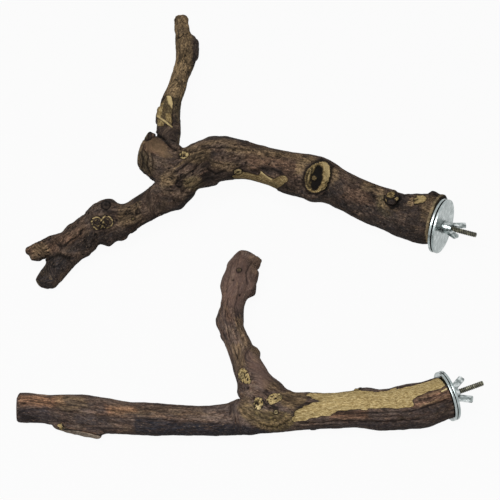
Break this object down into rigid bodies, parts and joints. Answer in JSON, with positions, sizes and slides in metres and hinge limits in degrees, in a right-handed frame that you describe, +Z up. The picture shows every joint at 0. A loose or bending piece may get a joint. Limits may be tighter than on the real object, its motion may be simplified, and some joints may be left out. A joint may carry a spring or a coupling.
{
  "type": "bird perch",
  "caption": "Natural-wood cage perches, one forked and one with a side crook, each a sawn branch with a hanger bolt, wide clamp washers and a wing nut.",
  "frame": {"origin": "on the surface that the perches lie on, under the middle of the set's box", "axes": "+Z up from the surface, +X towards the bolts' ends, +Y from the crooked perch to the forked one"},
  "size_m": [0.33, 0.3976, 0.0516],
  "materials": {
    "branch_wood": "dark bark, matte, with peeled tan patches and sawn ends",
    "bright_zinc": "bright bluish zinc plating, satin",
    "yellow_zinc": "dull yellow zinc plating on the thread"
  },
  "bodies": {
    "forked_perch": {"forked_branch": "branch_wood", "forked_hanger_bolt": "yellow_zinc"},
    "forked_inner_washer": {"forked_inner_washer": "bright_zinc"},
    "forked_outer_washer": {"forked_outer_washer": "bright_zinc"},
    "forked_wing_nut": {"forked_wing_nut": "bright_zinc"},
    "crook_perch": {"crook_branch": "branch_wood", "crook_hanger_bolt": "yellow_zinc"},
    "crook_inner_washer": {"crook_inner_washer": "bright_zinc"},
    "crook_outer_washer": {"crook_outer_washer": "bright_zinc"},
    "crook_wing_nut": {"crook_wing_nut": "bright_zinc"}
  },
  "joints": [
    {"name": "forked_inner_washer_spin", "type": "hinge", "parent": "forked_perch", "child": "forked_inner_washer", "pos_m": [0.1371, -0.0184, 0.02005], "axis": [0.9067, -0.4037, 0.1219], "continuous": true},
    {"name": "forked_clamp_slide", "type": "slide", "parent": "forked_perch", "child": "forked_outer_washer", "axis": [0.9067, -0.4037, 0.1219], "range_m": [-0.0009, 0.014]},
    {"name": "forked_wing_nut_turn", "type": "hinge", "parent": "forked_outer_washer", "child": "forked_wing_nut", "pos_m": [0.1371, -0.0184, 0.02005], "axis": [0.9067, -0.4037, 0.1219], "range_deg": [-463.4, 7200.5]},
    {"name": "crook_inner_washer_spin", "type": "hinge", "parent": "crook_perch", "child": "crook_inner_washer", "pos_m": [0.1366, -0.1715, 0.01825], "axis": [0.9171, 0.3987, 0], "continuous": true},
    {"name": "crook_clamp_slide", "type": "slide", "parent": "crook_perch", "child": "crook_outer_washer", "axis": [0.9171, 0.3987, 0], "range_m": [-0.0005, 0.014]},
    {"name": "crook_wing_nut_turn", "type": "hinge", "parent": "crook_outer_washer", "child": "crook_wing_nut", "pos_m": [0.1366, -0.1715, 0.01825], "axis": [0.9171, 0.3987, 0], "range_deg": [-257.6, 7200.5]},
    {"name": "crook_perch_lift", "type": "slide", "parent": "forked_perch", "child": "crook_perch", "axis": [0, 0, 1], "range_m": [0, 0.15]}
  ],
  "couplings": [
    {"joint": "forked_wing_nut_turn", "follows": "forked_clamp_slide", "rad_per_m": 8976},
    {"joint": "crook_wing_nut_turn", "follows": "crook_clamp_slide", "rad_per_m": 8976}
  ]
}
